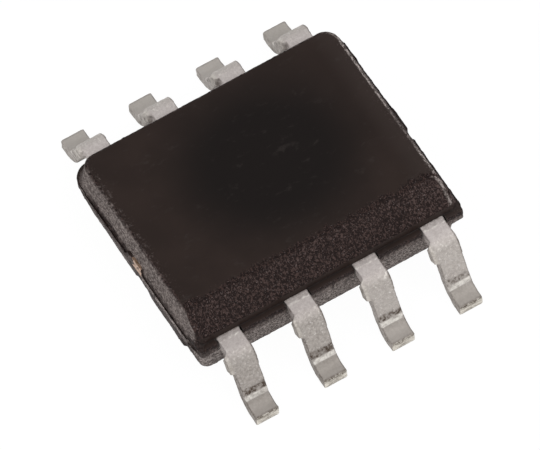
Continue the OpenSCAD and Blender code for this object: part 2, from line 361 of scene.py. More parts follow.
class Moulding:
    """The moulding as rings of points, with numbers for the finish and for the painted light and
    shade at each of them.

    at_x, at_y and at_z are where the points are at the time. x, y and side, which is -1 on
    the left and 1 on the right, stay as they were before the points were moved. ends is 1 on
    the end faces and 0 on the long sides, and left and right are 1 on one end face.
    """

    def __init__(self):
        rows = moulding_rows()
        self.zones = np.array([zone for ring, z, zone in rows])
        rings = [np.column_stack([ring, np.full(len(ring), z)]) for ring, z, zone in rows]
        self.rings = np.array(rings)
        self.flash, self.ledge = self.rows_in("flash"), self.rows_in("ledge")
        self.upper, self.lower, self.top = (
            (self.zones == zone)[:, None] for zone in ("upper", "lower", "top")
        )
        self.at_x, self.at_y, self.at_z = np.moveaxis(self.rings, 2, 0)
        self.x, self.y = self.at_x.copy(), self.at_y.copy()
        self.side = np.sign(self.x)
        self.ends = end_weight()[None, :]
        self.left = self.ends * (self.side < 0)
        self.right = self.ends * (self.side > 0)

    def rows_in(self, zone):
        return np.where(self.zones == zone)[0]

    def field(self, per_mm, octaves=1, seed=0):
        """Noise at each point, from where it is at the time."""
        return noise_at(self.rings.reshape(-1, 3), per_mm, octaves, seed).reshape(self.x.shape)

    def shape_flash(self):
        """Ragged edges, strips on the ends, and a thin film over the tie bars' ends."""
        field, y, at_z = self.field, self.y, self.at_z
        flash, ledge, under = self.flash, self.ledge, self.rows_in("under")
        share = np.zeros((len(y), 1))
        share[flash] = 1
        share[ledge, 0] = 1 - np.array(LEDGE)
        share[under, 0] = UNDER
        left_reach, right_reach = strip_reach(y, LEFT_STRIPS), strip_reach(y, RIGHT_STRIPS)
        reach = np.where(self.side < 0, left_reach, right_reach)
        ragged = 0.5 + 0.5 * field(4.0, 3, 1)
        fine = 0.5 + 0.5 * field(16.0, 1, 2)
        film = self.ends * ramp(TIE_HALF_W + 0.06, TIE_HALF_W + 0.015, np.abs(y))
        # The left film has a hole, where the tie bar's bare end shows
        hole = ramp(0.0, 0.1, 0.26 - 1.6 * np.abs(y + 0.01) + 0.3 * field(6.0, 2, 9))
        hole = hole * film * (self.side < 0)
        torn = (END_FLASH - HALF_STEP) * reach - TORN_END * ragged * (0.4 + reach) - NIBBLED * fine
        left_film = LEFT_FILM - 0.004 * fine - LEFT_FILM * hole
        skin = np.where(self.side < 0, left_film, RIGHT_FILM)
        self.at_x += self.side * self.ends * share * (torn * (1 - film) + skin * film)
        shifted = np.maximum(share, self.lower)
        # The left end's flash breaks off short of the front corner, which stands further in
        nick = (self.side < 0) * ramp(NICK_Y + 0.015, NICK_Y - 0.015, y)
        self.at_x -= shifted * (1 - film) * (LOWER_SHIFT - NICK * nick * share)
        row_torn = TORN_ROW * ragged + NIBBLED * fine
        self.at_y -= np.sign(y) * (1 - self.ends) * share * row_torn
        # The left end's flash is thin, and its end face runs down to it
        thin = self.left * (1 - film)
        at_z[flash] -= 0.45 * thin[flash] * (at_z[flash] - BAND_Z)
        at_z[ledge] -= thin[ledge] * np.array(LEDGE_SUNK)[:, None]
        self.at_x[ledge] -= thin[ledge] * np.array(LEDGE_OUT)[:, None]
        at_z[ledge] += (film * (0.012 - 0.02 * hole))[ledge]
        at_z[under] -= 0.008 * film[under]
        # A crevice wanders along the ledge on the ends
        place = np.full((len(y), 1), 99.0)
        place[ledge, 0] = range(len(LEDGE))
        groove = np.exp(-((place - 2.0 - 1.5 * field(5.0, 2, 11)) / 0.75) ** 2)
        crevice = groove * self.ends * (1 - 0.7 * film)
        at_z -= crevice * (0.008 + 0.018 * (0.5 + 0.5 * field(2.2, 2, 3)))
        at_z[ledge] -= 0.003 * fine[ledge]
        self.share, self.film, self.nick, self.crevice = share, film, nick, crevice

    def lean_walls(self):
        """The real walls lean a little more or less than the nominal draft."""
        x, y = self.x, self.y
        rise = np.clip((self.at_z - FRAME_Z) / (TOP_Z - FRAME_Z), 0, 1)
        fall = np.clip((BAND_Z - self.at_z) / (BAND_Z - UNDERSIDE_Z), 0, 1)
        back = BACK_STEEPER * rise * ramp(0.5, 1.6, y)
        self.at_y += back - FRONT_STEEPER * fall * ramp(-0.5, -1.5, y)
        self.at_x -= RIGHT_FLATTER * rise * ramp(0.8, 2.2, x)
        steeper = band((-1.31, -1.25), (-1.6, 2.0), y) * ramp(-0.8, -2.0, x)
        self.at_x -= LEFT_STEEPER * fall * steeper

    def roughen(self):
        """Grain of the spark-eroded mould: none on flats, little on the steep strip in front."""
        rings, field, x = self.rings, self.field, self.x
        normals = self.normals = ring_normals(rings)
        up = normals[:, :, 2]
        jitter = self.jitter = field(16.0, 2, 4)
        wall = ramp(0.995, 0.93, up + 0.03 * jitter)
        steep = self.upper * ramp(0.6, 0.9, np.abs(normals[:, :, 1]))
        grain = wall * (1 - 0.85 * (steep * ramp(0.5, 0.3, up)))
        grain[self.rows_in("underside")] *= 0.2
        grain[self.rows_in("top")[1:]] = 0
        grain[self.ledge] *= 0.15 + 0.85 * self.ends
        # The bevel's grain starts raggedly along its upper edge
        past = BEVEL_TOP_Y - self.at_y
        near = ramp(0.24, 0.17, np.abs(past)) * (self.at_z > BEVEL_Z)
        near = near * ramp(UPPER_X - 0.08, UPPER_X - 0.14, np.abs(x))
        grain += near * (ramp(-0.10, -0.02, past + 0.085 * field(10.0, 2, 10)) - grain)
        # The left end's grain runs over the edge on to the top in tongues
        from_edge = x + x[self.rows_in("upper")[-1]].max()
        tongues = ramp(0.08, 0.38, field(12.0, 2, 14))
        tongues = tongues * ramp(0.072, 0.018, from_edge + 0.035 * jitter)
        self.tongues = tongues * self.left * ramp(BEVEL_TOP_Y, 0.3, self.y)
        grain = self.grain = np.where(self.top, np.maximum(grain, 0.85 * self.tongues), grain)

        worms = field(15.0, 1, 5) * 0.4 + field(27.0, 1, 6) * 0.6
        # The right film stays smooth, so that the tie bar under it never shows through
        raised = grain * (1 - self.film * self.share * (self.side > 0))
        rings += normals * (raised * worms * GRAIN)[:, :, None]
        rings += normals * (raised * field(3.0, 2, 7) * SWELL)[:, :, None]
        lumps = np.maximum(field(11.0, 1, 8) - 0.35, 0)
        rings += normals * (grain * lumps * LUMPS)[:, :, None]

    def finish_and_light(self):
        """Numbers for finish and painted light: grain, how pale it is, which is partly a painted
        reflection, how much painted shade, and how much painted light falls on it.
        """
        self.spotty = ramp(-0.25, 0.25, self.field(7.0, 3, 12))
        self.back_corner = (self.side < 0) * ramp(1.40, 1.58, self.y)
        self.paint_walls()
        self.paint_flash()
        self.paint_right_rim()
        foot = np.zeros((len(self.y), 1))
        foot[self.ledge[0] + np.arange(len(FOOT_SHADE)), 0] = FOOT_SHADE
        # Painted shade in the crevice along the ledge on the ends, and at the foot of the upper
        # wall between the leads
        dark = (0.42 * self.crevice + (1 - self.ends) * foot) * (1 - self.back_corner)
        return np.stack([self.grain, self.pale, dark, self.lit], 2)

    def paint_walls(self):
        """Pale walls, partly rough compound and partly a painted reflection, with patches of
        painted shade low on the left end, and a dark bevel.
        """
        y, grain, upper, lower = self.y, self.grain, self.upper, self.lower
        up = self.normals[:, :, 2]
        front = np.clip(-self.normals[:, :, 1], 0, 1)
        wavy = 0.12 * self.jitter + 0.16 * self.field(7.0, 2, 13)
        # The paleness is partly a painted grazing reflection, so walls that face the front stay
        # dark
        pale = grain * np.where(upper, ramp(0.97, 0.3, up + wavy), 1)
        pale = np.where(self.top, 0, pale * ramp(0.45, 0.15, front))
        pale = np.where(self.top | upper, np.maximum(pale, 0.5 * self.tongues), pale)
        # Painted shade in patches low on the left end, weaker towards the back and near the front
        # corner
        toward_back = ramp(-0.4, 0.7, y)
        left_shade = self.left * (1 - 0.15 * toward_back - (0.25 + 0.25 * toward_back) * self.spotty)
        left_shade *= 1 - 0.8 * ramp(-1.70, -1.82, y)
        # The lower half's paleness is partly painted light bounced up from the floor
        lower_pale = grain * ramp(UNDERSIDE_Z, UNDERSIDE_Z + 0.08, self.at_z) * (1 - left_shade)
        self.pale = np.where(lower, lower_pale, pale)
        bevel = upper * ramp(0.6, 0.8, up) * ramp(0.25, 0.4, front)
        higher = ramp(BEVEL_Z + 0.1, TOP_Z - 0.02, self.at_z)
        bevel_lit = bevel * (0.28 + 0.2 * higher + 0.4 * ramp(1.2, 2.3, self.x))
        self.lit = np.where(lower, 1 - left_shade, bevel_lit)

    def paint_flash(self):
        """Dark flash with painted light low down between the leads, and pale in spots on the left
        end.
        """
        y, pale, height, spotty = self.y, self.pale, self.at_z, self.spotty
        flash, ledge, left, corner = self.flash, self.ledge, self.left, self.back_corner
        rear = ramp(-0.2, 0.1, y)
        rough_edge = left * (1 - rear * (1 - 0.45 * spotty)) * (0.5 + 0.5 * spotty)
        inner = ramp(0.3, 0.9, np.array(LEDGE))[:, None]
        corner_edge = corner[ledge] * np.minimum(1, 3 * inner)
        pale[ledge] = 0.8 * np.maximum(rough_edge[ledge] * inner, corner_edge)
        pale[ledge] += (0.10 * self.right * ramp(-1.0, -1.4, y))[ledge]
        # Painted light on the lowest part of the flash's edge between the leads
        row_flash = ramp(BAND_Z + 0.155, BAND_Z + 0.055, height + 0.02 * self.jitter)
        left_flash = 0.45 - 0.37 * rear + (0.55 - 0.05 * rear) * spotty
        end_flash = np.where(self.side < 0, left_flash, 0.08)
        pale[flash] = (row_flash + (end_flash - row_flash) * self.ends)[flash]
        pale[flash] += 0.4 * (corner * spotty * ramp(FRAME_Z, BAND_Z, height))[flash]
        front_corner = ramp(-1.58, -1.70, y) * ramp(-2.12, -2.28, self.x)
        pale[ledge] *= 1 - 0.85 * front_corner[ledge]
        pale[flash] *= 1 - 0.6 * front_corner[flash]
        self.lit[flash] = (left * ramp(-0.2, -0.35, y) * (1 - self.nick))[flash]

    def paint_right_rim(self):
        """Painted highlight on the right end's rim, which is dark below it."""
        x, y, upper, height = self.x, self.y, self.upper, self.at_z
        across = self.normals[:, :, 0]
        in_bevel = y < BEVEL_TOP_Y
        rim = upper * np.where(in_bevel, 1, self.ends) * ramp(0.06, 0.12, across)
        bright = band((0.14, 0.26), (0.66, 0.82), across) * (y > BEVEL_TOP_Y - 0.02)
        gap = band((-0.95, -0.65), (-0.05, 0.25), y)
        self.pale += rim * (bright * (1 - 0.65 * gap) - self.pale)
        # On the bevel the painted highlight is a thin line, a little inside the edge
        from_end = x.max(axis=1, keepdims=True) - x
        self.pale *= 1 - upper * in_bevel * ramp(0.09, 0.05, from_end) * (x > 0)
        line_at = 0.035 + 0.06 * ramp(TOP_Z - 0.04, BEVEL_Z, height)
        line = ramp(0.034, 0.014, np.abs(from_end - line_at)) * in_bevel * (height > BEVEL_Z)
        self.pale += upper * line * (0.85 - self.pale)
        self.lit += rim * (1 - self.lit)


# A box's faces, for corners that run through x fastest, then y, then z
BOX_FACES = ((0, 2, 3, 1), (4, 5, 7, 6), (0, 1, 5, 4), (2, 6, 7, 3), (0, 4, 6, 2), (1, 3, 7, 5))


def cut_slots(body):
    """Opens the flash where each lead comes out of it, with a hairline gap."""
    half = LEAD_W / 2 + SLOT_GAP
    levels = (BAND_Z - SLOT_GAP, FRAME_Z + 0.05)
    points, faces = [], []
    for number in LEADS:
        depths = (UPPER_Y + 0.002, FLASH_Y + 0.1)
        if number <= ROW:
            depths = (-depths[1], -depths[0])
        places = (lead_x(number) - half, lead_x(number) + half)
        faces += [tuple(len(points) + k for k in face) for face in BOX_FACES]
        points += [(x * MM, y * MM, z * MM) for z in levels for y in depths for x in places]
    mesh = bpy.data.meshes.new("slots")
    mesh.from_pydata(points, [], faces)
    cutter = add_object("slots", mesh)
    cut = body.modifiers.new("cut", "BOOLEAN")
    cut.operation = "DIFFERENCE"
    cut.solver = "MANIFOLD"
    cut.object = cutter
    bpy.context.view_layer.update()
    graph = bpy.context.evaluated_depsgraph_get()
    made = bpy.data.meshes.new_from_object(body.evaluated_get(graph))
    body.modifiers.clear()
    body.data = made
    bpy.data.objects.remove(cutter)


def make_body():
    """The moulding, with its flash, its grain and the slots that the leads stand in."""
    moulding = Moulding()
    moulding.shape_flash()
    moulding.lean_walls()
    moulding.roughen()
    finish_and_light = moulding.finish_and_light()
    body = grid_mesh("moulding", np.clip(moulding.rings, body_low, body_high), finish_and_light)
    cut_slots(body)
    return body


# -------------------------------- leads
def lead_x(number):
    """Middle of a lead along the row it stands in."""
    place = (number - 1) % ROW
    if number > ROW:
        place = ROW - 1 - place
    return (place - (ROW - 1) / 2) * PITCH


def lead_line():
    """A lead's middle line: where its bends start and stop, and its way, y, z and slope."""
    mid = FRAME_T / 2
    drop = (SHOULDER_R + FRAME_T + HEEL_R) * (1 - math.cos(SLOPE_ANGLE))
    slope = (BAND_Z - drop) / math.sin(SLOPE_ANGLE)
    shoulder_arc = (SHOULDER_R + mid) * SLOPE_ANGLE
    heel_arc = (HEEL_R + mid) * SLOPE_ANGLE
    marks = np.cumsum([0, SHOULDER, shoulder_arc, slope, heel_arc, FOOT])
    way = np.linspace(0, marks[-1], LINE_POINTS)
    angle = np.interp(way, marks, [0, 0, SLOPE_ANGLE, SLOPE_ANGLE, 0, 0])
    step = np.diff(way)
    mean = (angle[1:] + angle[:-1]) / 2
    y = UPPER_Y + np.concatenate([[0], np.cumsum(step * np.cos(mean))])
    z = FRAME_Z - mid - np.concatenate([[0], np.cumsum(step * np.sin(mean))])
    return marks, way, y, z, angle


def lead_section(low_x, high_x, thickness):
    """One closed section, seen with the lead's upper face up: x across and n up, anticlockwise."""
    half = thickness / 2
    corners = [
        (high_x, -half, LOWER_EDGE_R, -90), (high_x, half, UPPER_EDGE_R, 0),
        (low_x, half, UPPER_EDGE_R, 90), (low_x, -half, LOWER_EDGE_R, 180),
    ]
    arcs = []
    for x, n, r, start in corners:
        turn = np.radians(start + np.linspace(0, 90, LEAD_EDGE_STEPS + 1))
        centre_x, centre_n = x - math.copysign(r, x), n - math.copysign(r, n)
        arcs.append(np.stack([centre_x + r * np.cos(turn), centre_n + r * np.sin(turn)], 1))
    pieces = []
    for k, arc in enumerate(arcs):
        steps = LEAD_SIDE_STEPS if k % 2 else LEAD_FACE_STEPS
        pieces.append(np.linspace(arcs[k - 1][-1], arc[0], steps, endpoint=False))
        pieces.append(arc[:-1])
    return np.concatenate(pieces)


class Lead:
    """One gull-wing lead, laid out straight, with the marks of forming and cutting on it and its
    painted light and shade.

    Each point has its way s along the middle line from the moulding's face, its place x
    across the lead and its height n over the middle line.
    """

    def __init__(self, number):
        self.number = number
        self.front = number <= ROW
        marks, *self.line = lead_line()
        self.shoulder_end, self.slope_start, self.heel_start, self.heel_end, self.toe = marks[1:]
        stations = np.concatenate([
            -INSIDE + np.array([0, 0.004, 0.015]),
            np.linspace(-INSIDE + TAB_LEN - 0.01, -STEM, 6),
            np.linspace(-STEM + 0.03, -0.03, 6),
            np.arange(0, self.toe - 0.02, SECTION_STEP),
            self.toe - np.array([0.016, 0.011, 0.006, 0.002, 0]),
        ])
        sections = np.array([self.section(s) for s in stations])
        self.s = stations[:, None].repeat(sections.shape[1], 1)
        self.x, self.n = sections[:, :, 0].copy(), sections[:, :, 1].copy()
        self.flat = np.stack([self.x, self.s, self.n], 2).reshape(-1, 3)

    def stub(self, s):
        """How far the dam bar's stubs stand out at s, from 0 to 1."""
        end = self.slope_start + STUB_ON_SLOPE
        return band((STUB_START, STUB_START + 0.07), (end - 0.012, end), s)

    def section(self, s):
        """The section at s, which narrows a little at both ends to round them off."""
        low_x, high_x = -LEAD_W / 2, LEAD_W / 2
        if s < -STEM:
            x = lead_x(self.number)
            tab_x = -math.copysign(TAB_OFFSET, x) if abs(x) > PITCH else 0
            t = min(1, (-STEM - s) / (INSIDE - TAB_LEN - STEM))
            low_x += (tab_x - TAB_W / 2 - low_x) * t
            high_x += (tab_x + TAB_W / 2 - high_x) * t
        low_x -= STUB_LEFT * self.stub(s)
        high_x += STUB_RIGHT * self.stub(s)
        off = 0.014 * ramp(self.toe - 0.018, self.toe, s) ** 2
        off += 0.01 * ramp(-INSIDE + 0.015, -INSIDE, s) ** 2
        return lead_section(low_x + off, high_x - off, FRAME_T - 2 * off)

    def field(self, per_mm, octaves, seed):
        """Noise at each point, as the lead lies straight and unmarked."""
        seed = LEAD_SEED + self.number + seed * 11
        return noise_at(self.flat, per_mm, octaves, seed).reshape(self.x.shape)

    def mark(self):
        """Presses the stubs down, and moves the points as forming and plating leave them."""
        s, x, n, field = self.s, self.x, self.n, self.field
        self.outside = ramp(0.0, 0.06, s)
        # The stubs are pressed down where the dam bar was cut away
        self.beyond = np.maximum(-LEAD_W / 2 - x, x - LEAD_W / 2)
        self.pressed = ramp(0.0, 0.03, self.beyond)
        self.pressed *= ramp(STUB_START, STUB_START + 0.03, s)
        upper = ramp(0.04, 0.1, n)
        n -= STUB_PRESSED * self.pressed * ramp(-0.02, 0.1, n)
        # Uneven cut edges, and lumps in the plating round the first bend
        edge = ramp(LEAD_W / 2 - 0.05, LEAD_W / 2, np.abs(x))
        uneven = 0.006 * field(5.0, 2, 1) + 0.003 * field(18.0, 1, 2) - 0.004
        x += self.outside * edge * uneven * np.sign(x)
        bend_start = (self.shoulder_end - 0.08, self.shoulder_end + 0.03)
        self.bend = band(bend_start, (self.slope_start + 0.15, self.heel_start + 0.02), s)
        plating = 0.0022 * field(6.0, 2, 3) + self.bend * 0.003 * field(15.0, 2, 4) - 0.002
        n += self.outside * np.sign(n) * plating
        # The forming tool's mark wanders a little across the heel
        wander = field(4.0, 2, 5)
        self.torn = field(20.0, 2, 6)
        scuff_start = self.heel_start + SCUFF_START + 0.035 * wander
        scuff_end = self.heel_start + SCUFF_END + 0.008 * wander
        self.shine_end = self.heel_start + SHINE_END + 0.010 * wander
        scuffed = (scuff_start - 0.025, scuff_start + 0.025), (scuff_end - 0.012, scuff_end + 0.012)
        self.scuff = band(*scuffed, s)
        shine_stop = (self.shine_end - 0.012, self.shine_end + 0.012)
        self.shine = band((scuff_end - 0.01, scuff_end + 0.02), shine_stop, s)
        n += upper * (0.004 * self.shine - self.scuff * (0.003 + 0.006 * self.torn))

    def points(self):
        """The points in their place, with the sections bent along the middle line."""
        way, line_y, line_z, line_angle = self.line
        y = np.where(self.s < 0, UPPER_Y + self.s, np.interp(self.s, way, line_y))
        angle = np.interp(self.s, way, line_angle)
        y = y + self.n * np.sin(angle)
        z = np.interp(self.s, way, line_z) + self.n * np.cos(angle)
        placed = np.stack([lead_x(self.number) + self.x, -y if self.front else y, z], 2)
        return np.clip(placed, *box_mm(f"lead_{self.number}"))

    def finish_and_light(self):
        """Numbers for finish and painted light: dirt and painted shade, burnish with its painted
        highlight, bare cut metal, and the paler shoulder.
        """
        s, x, n, toe, torn, outside = self.s, self.x, self.n, self.toe, self.torn, self.outside
        top = ramp(0.02, 0.09, n)
        ragged = self.field(11.0, 3, 7)
        dirt_and_shade_level = SCUFF_DIRT_AND_SHADE[self.number - 1] if self.front else BACK_DIRT_AND_SHADE
        on_foot = ramp(self.shine_end - 0.01, self.shine_end + 0.02, s)
        border = ramp(0.035, 0.0, LEAD_W / 2 - np.abs(x))
        border = np.maximum(border, ramp(toe - 0.05, toe - 0.01, s))
        border *= 1 if self.front else 0.5
        # The rims run along the stubs' edges too
        right_rim = ramp(0.03, 0.012, LEAD_W / 2 + STUB_RIGHT * self.pressed - x)
        right_rim = right_rim * ramp(toe + 0.01, toe - 0.02, s)
        left_rim = ramp(0.016, 0.0, LEAD_W / 2 + STUB_LEFT * self.stub(s) + x)
        # Painted shade where the lead leaves the moulding
        near_body = 0.22 * ramp(0.11, 0.085, s + 0.03 * torn)
        # Dirt on the scuffed band, and painted shade on the foot's border, the rims, the lower
        # edge, the toe's edge and the part by the moulding
        dirt_and_shades = [
            top * self.scuff * np.clip(dirt_and_shade_level + 0.9 * ragged + 0.4 * torn, 0, 1),
            top * border * (0.3 + 0.45 * dirt_and_shade_level) * on_foot,
            outside * right_rim * ramp(0.03, 0.08, n) * 0.65,
            outside * left_rim * np.clip(0.2 + 0.55 * dirt_and_shade_level + 0.5 * ragged, 0, 1),
            outside * 0.7 * ramp(-0.085, -0.1, n),
            ramp(toe - 0.02, toe, s) * ramp(0.06, 0.09, n) * 0.8,
            0.45 * ramp(0.035, 0.0, s) + near_body,
        ]
        # The front row is darker by the heel, and the back row has painted shade on the toe's edge
        if self.front:
            heel = on_foot * ramp(self.heel_end + 0.04, self.heel_start + 0.12, s)
            dirt_and_shades.append(top * heel * 0.2)
        else:
            toe_edge = ramp(toe - 0.022, toe - 0.008, s) * ramp(0.05, 0.09, n)
            dirt_and_shades.append(toe_edge * 0.8)
        glints = np.clip((self.field(26.0, 2, 8) - 0.42) * 5, 0, 1)
        glints = glints * self.bend * ramp(self.slope_start + 0.25, self.slope_start, s)
        line = band((0.085, 0.1), (0.115, 0.135), s + 0.02 * torn)
        # Burnished ridge with a painted highlight, painted glints on the first bend and a line
        # across the shoulder
        shines = [
            top * outside * self.shine * np.clip(0.72 + 0.9 * ragged + 0.3 * torn, 0, 1),
            0.55 * top * glints,
            top * line * np.clip(0.35 + 0.9 * ragged, 0, 1),
        ]
        tip = ramp(toe - 0.012, toe - 0.004, s)
        stub_face = ramp(0.012, 0.03, self.beyond) * (s > STUB_START)
        cut = np.clip(tip + 0.3 * stub_face, 0, 1)
        shoulder = 1 - ramp(SHOULDER * 0.9, SHOULDER * 1.6, s)
        dirt_and_shade, burnish_and_highlight = np.maximum.reduce(dirt_and_shades), np.maximum.reduce(shines)
        return np.stack([dirt_and_shade, burnish_and_highlight, cut, shoulder], 2)


def make_lead(number):
    """One lead with its tab, its cut dam bar stubs and its marks."""
    lead = Lead(number)
    lead.mark()
    points, finish_and_light = lead.points(), lead.finish_and_light()
    if not lead.front:
        points, finish_and_light = points[:, ::-1], finish_and_light[:, ::-1]
    return grid_mesh(f"lead_{number}_plated", points, finish_and_light)


# -------------------------------- materials
def put(tree, node, inputs):
    """Sets a node's inputs, or links them; a colour is given without its alpha."""
    for key, value in inputs.items():
        socket = node.inputs[key]
        if isinstance(value, bpy.types.Node):
            value = value.outputs[0]
        if isinstance(value, bpy.types.NodeSocket):
            tree.links.new(value, socket)
        else:
            socket.default_value = (*value, 1) if socket.type == "RGBA" else value


def add_node(tree, kind, inputs, **settings):
    node = tree.nodes.new("ShaderNode" + kind)
    for name, value in settings.items():
        setattr(node, name, value)
    put(tree, node, inputs)
    return node


class Nodes:
    """Short calls for building a material's node tree."""

    def __init__(self, name):
        self.material = bpy.data.materials.new(name)
        self.material.use_nodes = True
        self.tree = self.material.node_tree
        place = self.add("TexCoord", {}).outputs["Object"]
        self.place = self.vector("SCALE", {"Scale": 1 / MM, 0: place})

    def add(self, kind, inputs, **settings):
        return add_node(self.tree, kind, inputs, **settings)

    def vector(self, operation, inputs):
        return self.add("VectorMath", inputs, operation=operation)

    def noise(self, per_mm, detail=2.0, roughness=0.5, distortion=0.0, stretch=None):
        node = self.add("TexNoise", {
            "Scale": per_mm, "Detail": detail, "Roughness": roughness, "Distortion": distortion,
        })
        place = self.place
        if stretch:
            place = self.add("Mapping", {"Scale": stretch, "Vector": place})
        put(self.tree, node, {"Vector": place})
        return node.outputs["Fac"]

    def along(self, axis):
        """Place along an axis, in millimetres."""
        return self.add("SeparateXYZ", {0: self.place}).outputs[axis]

    def distance(self, centre, scale):
        """Distance from a place in millimetres, with each axis scaled."""
        offset = self.vector("SUBTRACT", {0: self.place, 1: centre})
        scaled = self.vector("MULTIPLY", {0: offset, 1: scale})
        return self.vector("LENGTH", {0: scaled}).outputs["Value"]

    def cells(self, per_mm):
        node = self.add("TexVoronoi", {"Scale": per_mm, "Vector": self.place})
        return node.outputs["Distance"]

    def finish_and_light(self):
        """The mesh's attribute of finish and painted light and shade, as its red, green, blue and
        alpha parts.
        """
        node = self.add("Attribute", {}, attribute_name="finish_and_light")
        parts = self.add("SeparateColor", {0: node.outputs["Color"]})
        return (*parts.outputs[:3], node.outputs["Alpha"])

    def math(self, operation, a, b=0.0, clamp=False):
        return self.add("Math", {0: a, 1: b}, operation=operation, use_clamp=clamp)

    def times(self, a, b):
        return self.math("MULTIPLY", a, b)

    def spread(self, value, low, high, to_low=0.0, to_high=1.0):
        """A smooth step from to_low to to_high, as value goes from low to high."""
        ends = {"From Min": low, "From Max": high, "To Min": to_low, "To Max": to_high}
        return self.add("MapRange", {"Value": value, **ends}, interpolation_type="SMOOTHSTEP")

    def mix(self, factor, a, b):
        node = self.add("Mix", {"Factor": factor, "A": a, "B": b}, data_type="RGBA")
        return node.outputs["Result"]

    def bump(self, height, distance_mm, strength=1.0, below=None):
        inputs = {"Distance": distance_mm * MM, "Strength": strength, "Height": height}
        if below is not None:
            inputs["Normal"] = below
        return self.add("Bump", inputs)

    def surface(self, colour, roughness, normal, metallic=0.0, specular=0.5):
        put(self.tree, self.tree.nodes["Principled BSDF"], {
            "Base Color": colour, "Roughness": roughness, "Metallic": metallic,
            "Specular IOR Level": specular, "Normal": normal,
        })
        return self.material


# Colours of the flat top face: patches, a dark middle and a lighter right end of painted sheen,
# flecks and smears
TOP_PATCHES = ((0.0240, 0.0142, 0.0115), (0.0300, 0.0182, 0.0148))
TOP_MIDDLE = (0.0072, 0.0042, 0.0036)
TOP_RIGHT_SHEEN = (0.060, 0.045, 0.040)
TOP_FLECKS = (0.13, 0.10, 0.095)
TOP_SMEARS = (0.055, 0.045, 0.041)
# Colours of the grain, dark and pale: each out of the light, then in it
DARK_HOLLOWS = ((0.0100, 0.0040, 0.0032), (0.018, 0.0090, 0.0078))
DARK_CRESTS = ((0.062, 0.036, 0.031), (0.110, 0.074, 0.067))
DARK_SPECKS = (0.26, 0.21, 0.205)
PALE_HOLLOWS = ((0.080, 0.061, 0.056), (0.075, 0.058, 0.052))
PALE_CRESTS = ((0.330, 0.280, 0.260), (0.620, 0.545, 0.515))
PALE_SPECKS = (0.62, 0.57, 0.54)
# Painted shade in crevices and at the foot of the walls
CREVICE_SHADE = (0.010, 0.0065, 0.0055)


def compound_material():
    """Black epoxy compound: smooth flats, spark-eroded walls and bevel, pale where it is rough,
    with painted reflection, light and shade.
    """
    m = Nodes("mould_compound")
    grain, pale, dark, lit = m.finish_and_light()
    curls = m.noise(28, 3, 0.62, 0.8, (1.15, 0.75, 1.0))
    specks = m.spread(m.noise(44, 2, 0.7, 0.4), 0.60, 0.72)
    patches = m.noise(1.1, 3, 0.55)

    # Painted sheen on the top face: darkest round its middle, and lighter towards its right end
    away = m.distance((0.2, 0.3, TOP_Z), (1 / 1.9, 1 / 1.78, 0.3))
    top = m.mix(m.spread(patches, 0.35, 0.65), *TOP_PATCHES)
    top = m.mix(m.spread(away, 0.45, 1.12), TOP_MIDDLE, top)
    top = m.mix(m.spread(m.along("X"), 1.85, 2.25, 0.0, 0.3), top, TOP_RIGHT_SHEEN)
    near_end = m.spread(m.math("ABSOLUTE", m.along("X")), UPPER_X - 0.30, UPPER_X - 0.14)
    flecks = m.times(m.spread(m.noise(30, 2, 0.6), 0.56, 0.70), near_end)
    top = m.mix(m.times(flecks, 0.35), top, TOP_FLECKS)
    smears = m.noise(4.5, 5, 0.72, 0.3, (0.7, 1.2, 1.0))
    top = m.mix(m.spread(smears, 0.56, 0.74, 0.0, 0.30), top, TOP_SMEARS)

    low, high = m.mix(lit, *DARK_HOLLOWS), m.mix(lit, *DARK_CRESTS)
    rough_dark = m.mix(m.spread(curls, 0.47, 0.63), low, high)
    rough_dark = m.mix(m.times(specks, 0.6), rough_dark, DARK_SPECKS)
    mottle = m.spread(m.noise(9, 3, 0.6, 0.4), 0.38, 0.62, 0.0, 0.6)
    low, high = m.mix(lit, *PALE_HOLLOWS), m.mix(lit, *PALE_CRESTS)
    rough_pale = m.mix(m.spread(curls, 0.40, 0.63), low, high)
    rough_pale = m.mix(m.times(mottle, 0.5), rough_pale, low)
    rough_pale = m.mix(m.times(specks, 0.6), rough_pale, PALE_SPECKS)
    rough = m.mix(pale, rough_dark, rough_pale)
    colour = m.mix(grain, top, rough)
    # Painted shade in the crevices and at the foot of the walls
    colour = m.mix(m.times(dark, 0.9), colour, CREVICE_SHADE)

    roughness = m.spread(grain, 0.0, 1.0, 0.42, 0.72)
    fine = m.bump(m.noise(60, 2, 0.6), 0.0012, 0.2)
    coarse = m.bump(curls, 0.014, m.spread(grain, 0.0, 1.0, 0.02, 0.9), fine)
    return m.surface(colour, roughness, coarse, specular=0.21)


# Colours of the tin plate, with a painted highlight on the burnish, painted light on the back row
# and painted shade along the edges
TIN_MOTTLE = ((0.410, 0.368, 0.337), (0.605, 0.555, 0.516))
TIN_FOOT = (0.480, 0.442, 0.405)
TIN_BLOTCH = (0.58, 0.54, 0.505)
TIN_TONE = (0.66, 0.61, 0.575)
TIN_GLINT = (0.92, 0.89, 0.87)
TIN_SHOULDER = ((0.690, 0.620, 0.600), (0.800, 0.733, 0.712))
TIN_FRONT_LEFT = (0.12, 0.095, 0.08)
TIN_CUT = ((0.71, 0.66, 0.58), (1.0, 0.95, 0.86))
TIN_SHINE = (1.0, 0.955, 0.89)
TIN_BACK_ROW_LIGHT = (0.90, 0.87, 0.83)
TIN_DIRT_AND_SHADE = (0.095, 0.068, 0.050)


